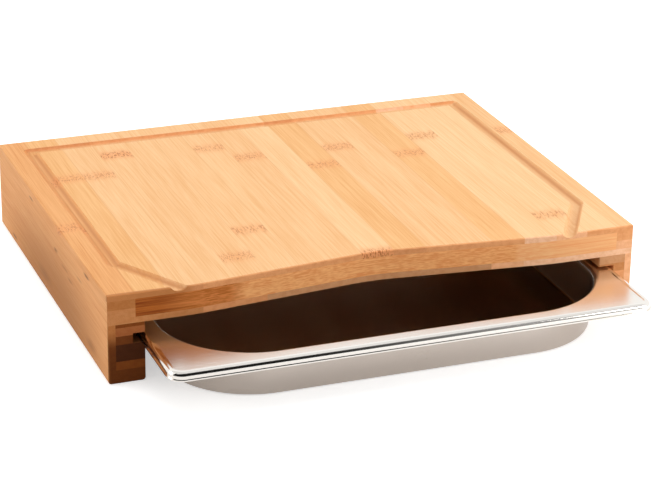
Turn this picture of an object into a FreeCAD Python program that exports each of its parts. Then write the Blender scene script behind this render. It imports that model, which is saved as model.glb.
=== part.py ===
import FreeCAD, Part
import Sketcher
import math
import os

# A laminated bamboo cutting board on two side legs, with a pressed steel tray that
# slides in slots under it.  Millimetres.  +Z is up and -Y is the front, where the tray
# comes out.  The origin is on the table, in the middle of the whole object's outline
# with the tray drawn out as it stands here.

SIZES = (
    # the tray, a standard half-size pan
    ("tray_width", 325, "over the rim, left to right"),
    ("tray_length", 265, "over the rim, front to back"),
    ("tray_depth", 31, "flange to the underside of the floor"),
    ("tray_sheet", 0.8, "thickness of the steel"),
    ("flange_width", 12.5, "rim's outside to the rounded mouth"),
    ("mouth_radius", 2.5, "bend from the flange into the wall"),
    ("wall_corner", 60, "inside corner radius at the flange"),
    ("wall_lean", 2.5, "how far a wall leans in from flange to floor"),
    ("floor_bend", 2.5, "outside bend from the wall to the floor"),
    ("rim_corner", 10, "corner radius of the rim"),
    ("rim_drop", 5, "flange to the bottom of the rolled rim"),
    ("rim_bend", 3, "outside bend of the rolled rim"),
    ("bead_width", 4, "width of the raised band along the rim"),
    ("bead_height", 0.5, "how far that band stands above the flange"),
    ("lip_width", 0.7, "how far the rim's bottom edge turns out"),
    # how the tray sits in the board
    ("table_gap", 0.5, "table to the tray's floor"),
    ("seat_gap", 0.2, "slot floor to the bottom of the rim"),
    ("headroom", 1, "top of the rim to the slot's roof"),
    ("tray_offset", 3.6, "how far the tray stands to the right of the board's middle"),
    ("left_play", 5.1, "left side of the rim to the bottom of the left slot"),
    ("right_play", 0.9, "right side of the rim to the bottom of the right slot"),
    ("stop_gap", 0.2, "rim to the slot's blind end, with the tray pushed in"),
    ("drawn_out", 63, "front of the board to the front of the tray"),
    # the side legs
    ("slot_depth", 8, "how far the left slot is cut into its leg"),
    ("slot_wall", 16, "wood between the left slot and the leg's outer side"),
    ("slot_roof", 7, "wood between a slot and the panel"),
    ("outer_strip", 5, "thickness of the upright strip on a leg's outer side"),
    ("left_first_layer", 3.5, "planed bottom layer of the left leg"),
    ("left_last_layer", 2.3, "planed top layer of the left leg"),
    ("right_first_layer", 5.8, "planed bottom layer of the right leg"),
    ("full_layers", 6, "count of the full layers in a leg"),
    # the panel
    ("back_land", 15, "wood behind the tray when it is pushed in"),
    ("top_ply", 4, "thickness of the top lamellas"),
    ("core_layer", 6, "thickness of each of the two core layers"),
    ("bottom_ply", 4, "thickness of the bottom lamellas"),
    ("first_strip", 18, "width of the trimmed strip at the left edge"),
    ("last_strip", 12, "width of the trimmed strip at the right edge"),
    ("full_strips", 15, "count of the full strips between them"),
    # the hand recess in the front edge
    ("recess_width", 246, "from shoulder to shoulder"),
    ("recess_depth", 13.6, "at the middle, before the apex is rounded"),
    ("recess_apex", 140, "radius at the middle"),
    ("recess_shoulder", 150, "radius where the recess meets the straight edge"),
    # the juice groove
    ("groove_radius", 5, "radius of the round-nosed cutter"),
    ("groove_depth", 3, "depth below the top face"),
    ("groove_side", 18, "side edge to the groove's middle line"),
    ("groove_back", 20, "back edge to the groove's middle line"),
    ("groove_turn", 48.5, "front edge to the turn towards the outlet"),
    ("groove_outlet", 46.5, "side edge to the outlet in the front edge"),
    # eased edges
    ("edge_ease", 0.6, "bevel on the panel's top edges and the board's upright corners"),
    ("leg_ease", 2, "radius along the bottom edges of the legs"),
)

doc = FreeCAD.newDocument("cutting_board")
sheet = doc.addObject("Spreadsheet::Sheet", "dims")
for row, (alias, value, meaning) in enumerate(SIZES, start=1):
    sheet.set(f"A{row}", meaning)
    sheet.set(f"B{row}", str(value))
    sheet.setAlias(f"B{row}", alias)
doc.recompute()

# Heights and places that follow from the sizes, as expressions on the sheet.
HALF_TRAY = "(dims.tray_width / 2)"
FLANGE_TOP = "(dims.table_gap + dims.tray_depth)"
FLOOR_TOP = "(dims.table_gap + dims.tray_sheet)"
RIM_BOTTOM = f"({FLANGE_TOP} - dims.rim_drop)"
BEAD_TOP = f"({FLANGE_TOP} + dims.bead_height)"
MOUTH = "(dims.flange_width + dims.mouth_radius)"

SLOT_FLOOR = f"({RIM_BOTTOM} - dims.seat_gap)"
SLOT_TOP = f"({BEAD_TOP} + dims.headroom)"
LEFT_SLOT = f"({HALF_TRAY} - dims.tray_offset + dims.left_play)"
RIGHT_SLOT = f"({HALF_TRAY} + dims.tray_offset + dims.right_play)"
LEG_INSIDE = f"({LEFT_SLOT} - dims.slot_depth)"
LEG_HEIGHT = f"({SLOT_TOP} + dims.slot_roof)"
HALF_BOARD = f"({LEFT_SLOT} + dims.slot_wall)"
BOARD_LEFT = f"(-1 * {HALF_BOARD})"
BOARD_DEPTH = "(dims.tray_length + dims.back_land)"

CORE_BOTTOM = f"({LEG_HEIGHT} + dims.bottom_ply)"
CORE_MIDDLE = f"({CORE_BOTTOM} + dims.core_layer)"
CORE_TOP = f"({CORE_MIDDLE} + dims.core_layer)"
PANEL_TOP = f"({CORE_TOP} + dims.top_ply)"

BOARD_FRONT = f"((dims.drawn_out - {BOARD_DEPTH}) / 2)"
TRAY_FRONT = f"({BOARD_FRONT} - dims.drawn_out)"

ORIGIN_POINT = (-1, 1)
LEVEL_WITH_ORIGIN = {"DistanceX": "Vertical", "DistanceY": "Horizontal"}
TINY = 1e-6


def value_of(expression):
    """The number that an expression on the sheet stands for, in millimetres."""
    result = sheet.evalExpression(expression)
    return float(getattr(result, "Value", result))


def new_body(name, front):
    """A body whose own XZ plane is the plane y = front."""
    body = doc.addObject("PartDesign::Body", name)
    body.Label = name
    body.setExpression("Placement.Base.y", front)
    return body


def new_sketch(body, name, plane, offset=None):
    """A sketch on one of the body's own origin planes, raised by offset."""
    sketch = body.newObject("Sketcher::SketchObject", name)
    for feature in body.Origin.OriginFeatures:
        if feature.Role == plane:
            sketch.AttachmentSupport = [(feature, "")]
    sketch.MapMode = "FlatFace"
    if offset:
        sketch.setExpression("AttachmentOffset.Base.z", offset)
    return sketch


def pin_coordinate(sketch, kind, geometry, point, expression):
    """Hold one coordinate of a sketch point at an expression on the sheet."""
    value = value_of(expression)
    if abs(value) < TINY:
        level = LEVEL_WITH_ORIGIN[kind]
        sketch.addConstraint(Sketcher.Constraint(level, *ORIGIN_POINT, geometry, point))
        return
    ends = (*ORIGIN_POINT, geometry, point) if value > 0 else (geometry, point, *ORIGIN_POINT)
    index = sketch.addConstraint(Sketcher.Constraint(kind, *ends, abs(value)))
    sign = "" if value > 0 else "-1 * "
    sketch.setExpression(f"Constraints[{index}]", sign + expression)


def pin_point(sketch, geometry, point, place):
    """Hold a sketch point at a pair of expressions."""
    pin_coordinate(sketch, "DistanceX", geometry, point, place[0])
    pin_coordinate(sketch, "DistanceY", geometry, point, place[1])


def vector_of(place):
    """The sketch point that a pair of expressions stands for."""
    return FreeCAD.Vector(value_of(place[0]), value_of(place[1]), 0)


def draw_lines(sketch, places, closed=True):
    """Straight lines through the given places, each place held by its expressions."""
    ends = places[1:] + places[:1] if closed else places[1:]
    lines = []
    for start, end in zip(places, ends):
        lines.append(sketch.addGeometry(Part.LineSegment(vector_of(start), vector_of(end))))
    for before, after in zip(lines, lines[1:]):
        sketch.addConstraint(Sketcher.Constraint("Coincident", before, 2, after, 1))
    if closed:
        sketch.addConstraint(Sketcher.Constraint("Coincident", lines[-1], 2, lines[0], 1))
    for line, place in zip(lines, places):
        pin_point(sketch, line, 1, place)
    if not closed:
        pin_point(sketch, lines[-1], 2, places[-1])


def draw_rounded_rectangle(sketch, half_width, front, back, radius):
    """A rectangle about the Y axis, from front to back, with its corners rounded."""
    inner_x = f"({half_width} - {radius})"
    centres = (
        (f"-1 * {inner_x}", f"({front} + {radius})", 180),
        (inner_x, f"({front} + {radius})", 270),
        (inner_x, f"({back} - {radius})", 0),
        (f"-1 * {inner_x}", f"({back} - {radius})", 90),
    )
    size = value_of(radius)
    arcs = []
    for x_place, y_place, start in centres:
        circle = Part.Circle(vector_of((x_place, y_place)), FreeCAD.Vector(0, 0, 1), size)
        turn = (math.radians(start), math.radians(start + 90))
        arcs.append(sketch.addGeometry(Part.ArcOfCircle(circle, *turn)))
    lines = []
    for index, arc in enumerate(arcs):
        following = arcs[(index + 1) % len(arcs)]
        start_point = sketch.getPoint(arc, 2)
        end_point = sketch.getPoint(following, 1)
        lines.append(sketch.addGeometry(Part.LineSegment(start_point, end_point)))
    for index, (arc, line) in enumerate(zip(arcs, lines)):
        following = arcs[(index + 1) % len(arcs)]
        sketch.addConstraint(Sketcher.Constraint("Tangent", arc, 2, line, 1))
        sketch.addConstraint(Sketcher.Constraint("Tangent", line, 2, following, 1))
    for arc in arcs[1:]:
        sketch.addConstraint(Sketcher.Constraint("Equal", arcs[0], arc))
    index = sketch.addConstraint(Sketcher.Constraint("Radius", arcs[0], size))
    sketch.setExpression(f"Constraints[{index}]", radius)
    for arc, (x_place, y_place, _) in zip(arcs, centres):
        pin_point(sketch, arc, 3, (x_place, y_place))


def edges_where(feature, test):
    """The names of a feature's edges whose middle point and ends pass a test."""
    names = []
    for number, edge in enumerate(feature.Shape.Edges, start=1):
        middle = edge.valueAt((edge.FirstParameter + edge.LastParameter) / 2)
        ends = [vertex.Point for vertex in edge.Vertexes]
        if test(middle, ends):
            names.append(f"Edge{number}")
    return names


def fillet(body, name, base, test, radius):
    """Round the edges of base that pass the test."""
    feature = body.newObject("PartDesign::Fillet", name)
    feature.Base = (base, edges_where(base, test))
    feature.setExpression("Radius", radius)
    doc.recompute()
    return feature


def bevel(body, name, base, test, size):
    """Cut the edges of base that pass the test back by the same size on both faces."""
    feature = body.newObject("PartDesign::Chamfer", name)
    feature.Base = (base, edges_where(base, test))
    feature.setExpression("Size", size)
    doc.recompute()
    return feature


def is_upright(ends):
    """Whether an edge runs straight up."""
    first, last = ends[0], ends[-1]
    same_place = abs(first.x - last.x) < TINY and abs(first.y - last.y) < TINY
    return same_place and abs(first.z - last.z) > TINY


# The milled form
#
# The board is glued up from strips and then milled as one block: the front recess, the
# eased edges, the slots and the groove run across the glue lines.  This body is that
# milled form, and every strip further down is its own blank cut by it.

milled = new_body("milled_form", BOARD_FRONT)


def add_arc(sketch, centre, radius, turn):
    """An arc held at its centre and radius, from one angle to another in radians."""
    circle = Part.Circle(vector_of(centre), FreeCAD.Vector(0, 0, 1), value_of(radius))
    arc = sketch.addGeometry(Part.ArcOfCircle(circle, *turn))
    index = sketch.addConstraint(Sketcher.Constraint("Radius", arc, value_of(radius)))
    sketch.setExpression(f"Constraints[{index}]", radius)
    pin_point(sketch, arc, 3, centre)
    return arc


def join_arcs(sketch, first, first_end, second, second_end):
    """A straight line tangent to two arcs, from one's end to the other's."""
    start, end = sketch.getPoint(first, first_end), sketch.getPoint(second, second_end)
    line = sketch.addGeometry(Part.LineSegment(start, end))
    sketch.addConstraint(Sketcher.Constraint("Tangent", first, first_end, line, 1))
    sketch.addConstraint(Sketcher.Constraint("Tangent", line, 2, second, second_end))


def run_out_to_corners(sketch, left_arc, right_arc):
    """The rest of the panel's outline: out along the front and round the back."""
    corners = [
        (f"(-1 * {HALF_BOARD})", "0"),
        (f"(-1 * {HALF_BOARD})", BOARD_DEPTH),
        (HALF_BOARD, BOARD_DEPTH),
        (HALF_BOARD, "0"),
    ]
    draw_lines(sketch, corners, closed=False)
    lines = [sketch.GeometryCount - 3, sketch.GeometryCount - 1]
    left_tip, right_tip = sketch.getPoint(left_arc, 1), sketch.getPoint(right_arc, 2)
    left = sketch.addGeometry(Part.LineSegment(vector_of(corners[0]), left_tip))
    right = sketch.addGeometry(Part.LineSegment(vector_of(corners[3]), right_tip))
    sketch.addConstraint(Sketcher.Constraint("Coincident", left, 1, lines[0], 1))
    sketch.addConstraint(Sketcher.Constraint("Coincident", right, 1, lines[1], 2))
    sketch.addConstraint(Sketcher.Constraint("Tangent", left, 2, left_arc, 1))
    sketch.addConstraint(Sketcher.Constraint("Tangent", right, 2, right_arc, 2))


# The front edge runs straight in from each side, then in two straight flanks to the
# middle, with an arc where it turns in and an arc in the middle.
FLANK_ANGLE = "atan(2 * dims.recess_depth / dims.recess_width)"
SHOULDER_X = f"(dims.recess_width / 2 + dims.recess_shoulder * tan({FLANK_ANGLE} / 2))"
APEX_Y = f"(dims.recess_depth - dims.recess_apex / cos({FLANK_ANGLE}))"

panel_plan = new_sketch(milled, "panel_plan", "XY_Plane", LEG_HEIGHT)
flank_turn = math.atan2(2 * value_of("dims.recess_depth"), value_of("dims.recess_width"))
down, up = -math.pi / 2, math.pi / 2
left_shoulder = add_arc(
    panel_plan,
    (f"(-1 * {SHOULDER_X})", "dims.recess_shoulder"),
    "dims.recess_shoulder",
    (down, down + flank_turn),
)
apex = add_arc(
    panel_plan, ("0", APEX_Y), "dims.recess_apex", (up - flank_turn, up + flank_turn)
)
right_shoulder = add_arc(
    panel_plan, (SHOULDER_X, "dims.recess_shoulder"), "dims.recess_shoulder",
    (down - flank_turn, down),
)
join_arcs(panel_plan, left_shoulder, 2, apex, 2)
join_arcs(panel_plan, apex, 1, right_shoulder, 1)
run_out_to_corners(panel_plan, left_shoulder, right_shoulder)
panel = milled.newObject("PartDesign::Pad", "panel")
panel.Profile = panel_plan
panel.setExpression("Length", f"{PANEL_TOP} - {LEG_HEIGHT}")
doc.recompute()

leg_plan = new_sketch(milled, "leg_plan", "XY_Plane")
for side in ("", "-1 * "):
    draw_lines(leg_plan, [
        (side + LEG_INSIDE, "0"),
        (side + HALF_BOARD, "0"),
        (side + HALF_BOARD, BOARD_DEPTH),
        (side + LEG_INSIDE, BOARD_DEPTH),
    ])
legs = milled.newObject("PartDesign::Pad", "legs")
legs.Profile = leg_plan
legs.setExpression("Length", LEG_HEIGHT)
doc.recompute()


def along_leg_bottom(middle, ends):
    """The four long edges under the legs."""
    return abs(middle.z) < TINY and abs(ends[0].x - ends[-1].x) < TINY


rounded_legs = fillet(milled, "leg_round", legs, along_leg_bottom, "dims.leg_ease")

half_board = value_of(HALF_BOARD)
panel_top = value_of(PANEL_TOP)


def on_panel_outline(middle, ends):
    """The outline of the top face and the board's four upright corners."""
    on_top = all(abs(end.z - panel_top) < TINY for end in ends)
    corner = is_upright(ends) and abs(abs(middle.x) - half_board) < TINY
    return on_top or corner


bevel(milled, "edge_bevel", rounded_legs, on_panel_outline, "dims.edge_ease")

# The slots end just behind the rim, with the tray pushed in until its front is flush
# with the board's.
slot_section = new_sketch(milled, "slot_section", "XZ_Plane")
for side, bottom in (("-1 * ", LEFT_SLOT), ("", RIGHT_SLOT)):
    draw_lines(slot_section, [
        (side + LEG_INSIDE, SLOT_FLOOR),
        (side + bottom, SLOT_FLOOR),
        (side + bottom, SLOT_TOP),
        (side + LEG_INSIDE, SLOT_TOP),
    ])
slots = milled.newObject("PartDesign::Pocket", "slots")
slots.Profile = slot_section
slots.setExpression("Length", "dims.tray_length + dims.stop_gap")
doc.recompute()

# The groove is the path of a round-nosed cutter, which runs out past the front edge.
GROOVE_X = f"({HALF_BOARD} - dims.groove_side)"
GROOVE_Y = f"({BOARD_DEPTH} - dims.groove_back)"
OUTLET_X = f"({HALF_BOARD} - dims.groove_outlet)"
RUN_OUT = "(2 * dims.groove_radius)"
RUN_OUT_X = f"({OUTLET_X} - {RUN_OUT} * ({GROOVE_X} - {OUTLET_X}) / dims.groove_turn)"
groove_path = new_sketch(
    milled, "groove_path", "XY_Plane", f"{PANEL_TOP} - dims.groove_depth + dims.groove_radius"
)
draw_lines(groove_path, [
    (f"-1 * {RUN_OUT_X}", f"(-1 * {RUN_OUT})"),
    (f"-1 * {GROOVE_X}", "dims.groove_turn"),
    (f"-1 * {GROOVE_X}", GROOVE_Y),
    (GROOVE_X, GROOVE_Y),
    (GROOVE_X, "dims.groove_turn"),
    (RUN_OUT_X, f"(-1 * {RUN_OUT})"),
], closed=False)
groove_section = milled.newObject("Sketcher::SketchObject", "groove_section")
groove_section.AttachmentSupport = [(groove_path, "Edge1")]
groove_section.MapMode = "NormalToEdge"
groove_circle = groove_section.addGeometry(
    Part.Circle(FreeCAD.Vector(0, 0, 0), FreeCAD.Vector(0, 0, 1), value_of("dims.groove_radius"))
)
groove_section.addConstraint(Sketcher.Constraint("Coincident", groove_circle, 3, *ORIGIN_POINT))
radius_index = groove_section.addConstraint(
    Sketcher.Constraint("Radius", groove_circle, value_of("dims.groove_radius"))
)
groove_section.setExpression(f"Constraints[{radius_index}]", "dims.groove_radius")
groove = milled.newObject("PartDesign::SubtractivePipe", "groove")
groove.Profile = groove_section
groove.Spine = groove_path
groove.Transition = "Round corner"
doc.recompute()


# The strips

pieces = []


def expect(test, message):
    """Stop with a message where something isn't as it should be."""
    if not test:
        raise RuntimeError(message)


def add_strip(label, x_place, width, z_place, height):
    """One strip of the glued block: a full-depth blank cut by the milled form."""
    blank = doc.addObject("Part::Box", label + "_blank")
    blank.setExpression("Length", width)
    blank.setExpression("Width", BOARD_DEPTH)
    blank.setExpression("Height", height)
    blank.setExpression("Placement.Base.x", x_place)
    blank.setExpression("Placement.Base.y", BOARD_FRONT)
    blank.setExpression("Placement.Base.z", z_place)
    piece = doc.addObject("Part::Common", label)
    piece.Label = label
    piece.Base = blank
    piece.Tool = milled
    pieces.append(piece)


full_strips = round(value_of("dims.full_strips"))
FULL_WIDTH = f"((2 * {HALF_BOARD} - dims.first_strip - dims.last_strip) / dims.full_strips)"
LAST_EDGE = f"({HALF_BOARD} - dims.last_strip)"

strips = [(BOARD_LEFT, "dims.first_strip")]
for index in range(full_strips):
    strips.append((f"{BOARD_LEFT} + dims.first_strip + {index} * {FULL_WIDTH}", FULL_WIDTH))
strips.append((LAST_EDGE, "dims.last_strip"))
for ply, z_place, height in (
    ("top", CORE_TOP, "dims.top_ply"),
    ("bottom", LEG_HEIGHT, "dims.bottom_ply"),
):
    for number, (place, width) in enumerate(strips, start=1):
        add_strip(f"{ply}_lamella_{number:02d}", place, width, z_place, height)

# The core: its strips run from left to right, glued into one sheet in each of two
# layers, between strips that close the left and right edges.
SHEET_LEFT = f"({BOARD_LEFT} + dims.first_strip)"
SHEET_WIDTH = f"{LAST_EDGE} - {SHEET_LEFT}"
for level, z_place in (("lower", CORE_BOTTOM), ("upper", CORE_MIDDLE)):
    add_strip(f"core_{level}_sheet", SHEET_LEFT, SHEET_WIDTH, z_place, "dims.core_layer")
    add_strip(f"core_{level}_left_edge", BOARD_LEFT, "dims.first_strip", z_place, "dims.core_layer")
    add_strip(f"core_{level}_right_edge", LAST_EDGE, "dims.last_strip", z_place, "dims.core_layer")

# The legs: an upright strip on the outside and flat strips stacked on its inner side.
INNER_WIDTH = "(dims.slot_depth + dims.slot_wall - dims.outer_strip)"


def add_leg(side, outer_x, inner_x, first_layer, last_layer=None):
    """One side leg, from the table up to the panel."""
    add_strip(f"{side}_leg_outer_strip", outer_x, "dims.outer_strip", "0", LEG_HEIGHT)
    planed = f"{first_layer} + {last_layer}" if last_layer else first_layer
    thickness = f"(({LEG_HEIGHT} - ({planed})) / dims.full_layers)"
    layers = [("0", first_layer)]
    for index in range(round(value_of("dims.full_layers"))):
        layers.append((f"{first_layer} + {index} * {thickness}", thickness))
    if last_layer:
        layers.append((f"{LEG_HEIGHT} - {last_layer}", last_layer))
    for number, (bottom, height) in enumerate(layers, start=1):
        add_strip(f"{side}_leg_layer_{number}", inner_x, INNER_WIDTH, bottom, height)


LEFT_LAYERS = f"({BOARD_LEFT} + dims.outer_strip)"
add_leg("left", BOARD_LEFT, LEFT_LAYERS, "dims.left_first_layer", "dims.left_last_layer")
RIGHT_STRIP = f"({HALF_BOARD} - dims.outer_strip)"
add_leg("right", RIGHT_STRIP, LEG_INSIDE, "dims.right_first_layer")

# The tray
#
# One pressed sheet: a shallow pan with large corners, a flat flange round its mouth, and
# the flange's edge raised in a narrow band, rolled down and turned out at the bottom.

tray = new_body("drip_tray", TRAY_FRONT)
tray.setExpression("Placement.Base.x", "dims.tray_offset")


def pan_outline(name, z_place, inset, radius):
    """A rounded outline on the tray, moved in from the rim's outside by inset."""
    sketch = new_sketch(tray, name, "XY_Plane", z_place)
    half_width = f"({HALF_TRAY} - {inset})"
    draw_rounded_rectangle(sketch, half_width, inset, f"(dims.tray_length - {inset})", radius)
    return sketch


def rim_outline(name, z_place, inset):
    """The rim's own outline, moved in by inset."""
    return pan_outline(name, z_place, inset, f"(dims.rim_corner - {inset})")


def at_height(height):
    """A test for edges that lie wholly at one height."""
    level = value_of(height)
    return lambda middle, ends: all(abs(end.z - level) < TINY for end in ends)


rim_block = tray.newObject("PartDesign::Pad", "rim_block")
rim_block.Profile = rim_outline("rim_plan", RIM_BOTTOM, "dims.lip_width")
rim_block.setExpression("Length", "dims.rim_drop + dims.bead_height")
doc.recompute()
fillet(tray, "rim_bend_round", rim_block, at_height(BEAD_TOP), "dims.rim_bend")

lip = tray.newObject("PartDesign::Pad", "lip")
lip.Profile = rim_outline("lip_plan", RIM_BOTTOM, "0")
lip.setExpression("Length", "dims.tray_sheet")
doc.recompute()

flange_sink = tray.newObject("PartDesign::Pocket", "flange_sink")
flange_sink.Profile = rim_outline("flange_plan", BEAD_TOP, "(dims.lip_width + dims.bead_width)")
flange_sink.setExpression("Length", "dims.bead_height")
doc.recompute()

rim_hollow = tray.newObject("PartDesign::Pocket", "rim_hollow")
rim_hollow.Profile = rim_outline(
    "rim_hollow_plan", RIM_BOTTOM, "(dims.lip_width + dims.tray_sheet)"
)
rim_hollow.Reversed = True
rim_hollow.setExpression("Length", "dims.rim_drop - dims.tray_sheet")
doc.recompute()
FLANGE_UNDERSIDE = f"({FLANGE_TOP} - dims.tray_sheet)"

# Under the flange the insides of the bends are plain bevels, as deep as a round would be.
ROUND_TO_BEVEL = "(2 - sqrt(2))"
RIM_BEVEL = f"{ROUND_TO_BEVEL} * (dims.rim_bend - dims.tray_sheet)"
bevel(tray, "rim_inside_bevel", rim_hollow, at_height(FLANGE_UNDERSIDE), RIM_BEVEL)

# The pan starts halfway through the flange's sheet, so the two run into each other.
WALL_OUTSIDE = f"({MOUTH} - dims.tray_sheet)"
PAN_TOP = f"({FLANGE_TOP} - dims.tray_sheet / 2)"
pan = tray.newObject("PartDesign::Pad", "pan")
pan.Profile = pan_outline(
    "pan_plan", PAN_TOP, WALL_OUTSIDE, "(dims.wall_corner + dims.tray_sheet)"
)
pan.Reversed = True
pan.setExpression("Length", f"{PAN_TOP} - dims.table_gap")
doc.recompute()

flange_plane = tray.newObject("PartDesign::Plane", "flange_plane")
for feature in tray.Origin.OriginFeatures:
    if feature.Role == "XY_Plane":
        flange_plane.AttachmentSupport = [(feature, "")]
flange_plane.MapMode = "FlatFace"
flange_plane.setExpression("AttachmentOffset.Base.z", FLANGE_TOP)
doc.recompute()

half_rim = value_of(HALF_TRAY)
tray_length = value_of("dims.tray_length")
flange_width = value_of("dims.flange_width")


def inside_flange(point):
    """Whether a point lies further in than the flange reaches."""
    inset = min(half_rim - abs(point.x), point.y, tray_length - point.y)
    return inset > flange_width


def lean(name, base, low, high, solid_inside):
    """Lean the pan's upright faces between two heights inwards, about the flange."""
    low_level, high_level = value_of(low), value_of(high)
    names = []
    for number, face in enumerate(base.Shape.Faces, start=1):
        box = face.BoundBox
        spans = abs(box.ZMin - low_level) < TINY and abs(box.ZMax - high_level) < TINY
        if spans and all(inside_flange(vertex.Point) for vertex in face.Vertexes):
            names.append(f"Face{number}")
    feature = tray.newObject("PartDesign::Draft", name)
    feature.Base = (base, names)
    feature.NeutralPlane = (flange_plane, [""])
    feature.Reversed = solid_inside
    feature.setExpression("Angle", "atan(dims.wall_lean / dims.tray_depth)")
    doc.recompute()
    return feature


hollow = tray.newObject("PartDesign::Pocket", "hollow")
hollow.Profile = pan_outline("hollow_plan", FLANGE_TOP, MOUTH, "dims.wall_corner")
hollow.setExpression("Length", "dims.tray_depth - dims.tray_sheet")
doc.recompute()
leaning_inside = lean("inside_lean", hollow, FLOOR_TOP, FLANGE_TOP, solid_inside=False)
leaning_outside = lean(
    "outside_lean", leaning_inside, "dims.table_gap", FLANGE_UNDERSIDE, solid_inside=True
)
inside_round = fillet(
    tray,
    "floor_inside_round",
    leaning_outside,
    at_height(FLOOR_TOP),
    "dims.floor_bend - dims.tray_sheet",
)
outside_round = fillet(
    tray, "floor_outside_round", inside_round, at_height("dims.table_gap"), "dims.floor_bend"
)


def round_the_mouth(height):
    """A test for the edges round the mouth at one height of the flange."""
    level = value_of(height)
    return lambda middle, ends: all(
        abs(end.z - level) < TINY and inside_flange(end) for end in ends
    )


mouth_inside = bevel(
    tray,
    "mouth_underside_bevel",
    outside_round,
    round_the_mouth(FLANGE_UNDERSIDE),
    f"{ROUND_TO_BEVEL} * (dims.mouth_radius - dims.tray_sheet)",
)
fillet(tray, "mouth_round", mouth_inside, round_the_mouth(FLANGE_TOP), "dims.mouth_radius")
pieces.append(tray)
doc.recompute()

# Check the whole document, then write one file for each piece.
for item in doc.Objects:
    expect("Invalid" not in item.State and "Error" not in item.State, f"{item.Name} failed")
os.makedirs("parts", exist_ok=True)
for piece in pieces:
    shape = piece.Shape
    expect(not shape.isNull() and shape.isValid(), f"{piece.Label} has a bad shape")
    expect(len(shape.Solids) == 1, f"{piece.Label} isn't one solid")
    shape.exportStep(f"parts/{piece.Label}.step")
print(len(pieces), "pieces")
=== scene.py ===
"""A laminated bamboo cutting board with a pressed steel drip tray that slides under it.

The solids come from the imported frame.  This script dresses them: every bamboo strip gets
its own cut of the stalk, with fibres, knuckles, glue lines and end grain, and the tray
gets the satin and the bright finish of drawn stainless steel.  Places are in millimetres
in the row frame wherever a finish is described, and in metres wherever Blender wants them.
"""

from __future__ import annotations

import logging
import math
from dataclasses import dataclass
from enum import Enum

import bpy
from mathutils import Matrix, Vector

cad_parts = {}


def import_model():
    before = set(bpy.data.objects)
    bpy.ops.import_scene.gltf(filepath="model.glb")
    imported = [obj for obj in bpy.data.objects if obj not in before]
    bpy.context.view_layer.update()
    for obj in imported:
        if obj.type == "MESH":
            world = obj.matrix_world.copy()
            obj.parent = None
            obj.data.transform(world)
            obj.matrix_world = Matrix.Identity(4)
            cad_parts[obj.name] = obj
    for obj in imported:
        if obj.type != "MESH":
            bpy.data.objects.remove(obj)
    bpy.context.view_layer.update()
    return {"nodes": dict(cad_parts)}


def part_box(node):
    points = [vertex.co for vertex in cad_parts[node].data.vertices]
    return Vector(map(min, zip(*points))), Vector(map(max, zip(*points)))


log = logging.getLogger("cutting_board")

Colour = tuple[float, float, float, float]
Place = tuple[float, float, float]
Joints = tuple[float, float, float, float]
Nodes = dict[str, bpy.types.Object]
Source = bpy.types.NodeSocket | float | tuple[float, ...]
Inputs = dict[str | int, Source]

MM_PER_METRE = 1000.0
TO_MILLIMETRES = (MM_PER_METRE, MM_PER_METRE, MM_PER_METRE)
NOISE_MEAN = 0.5

# The display curve is straight below its knee and a power above it.
DISPLAY_KNEE = 0.04045
DISPLAY_SLOPE = 12.92
DISPLAY_OFFSET = 0.055
DISPLAY_POWER = 2.4

# Places of the board in millimetres, and one that no surface comes near.
CUTTING_FACE = 60.0
BOARD_FRONT = -108.5
LEFT_FACE = -180.0
FAR_AWAY = 5000.0


def display_colour(red: int, green: int, blue: int) -> Colour:
    """Turn 8-bit display values into the linear colour that a shader takes.

    Args:
        red: Display red, 0 to 255.
        green: Display green, 0 to 255.
        blue: Display blue, 0 to 255.

    Returns:
        The linear colour with an alpha of one.
    """
    channels = []
    for value in (red, green, blue):
        share = value / 255.0
        low = share / DISPLAY_SLOPE
        high = ((share + DISPLAY_OFFSET) / (1.0 + DISPLAY_OFFSET)) ** DISPLAY_POWER
        channels.append(low if share <= DISPLAY_KNEE else high)
    return (channels[0], channels[1], channels[2], 1.0)


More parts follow.
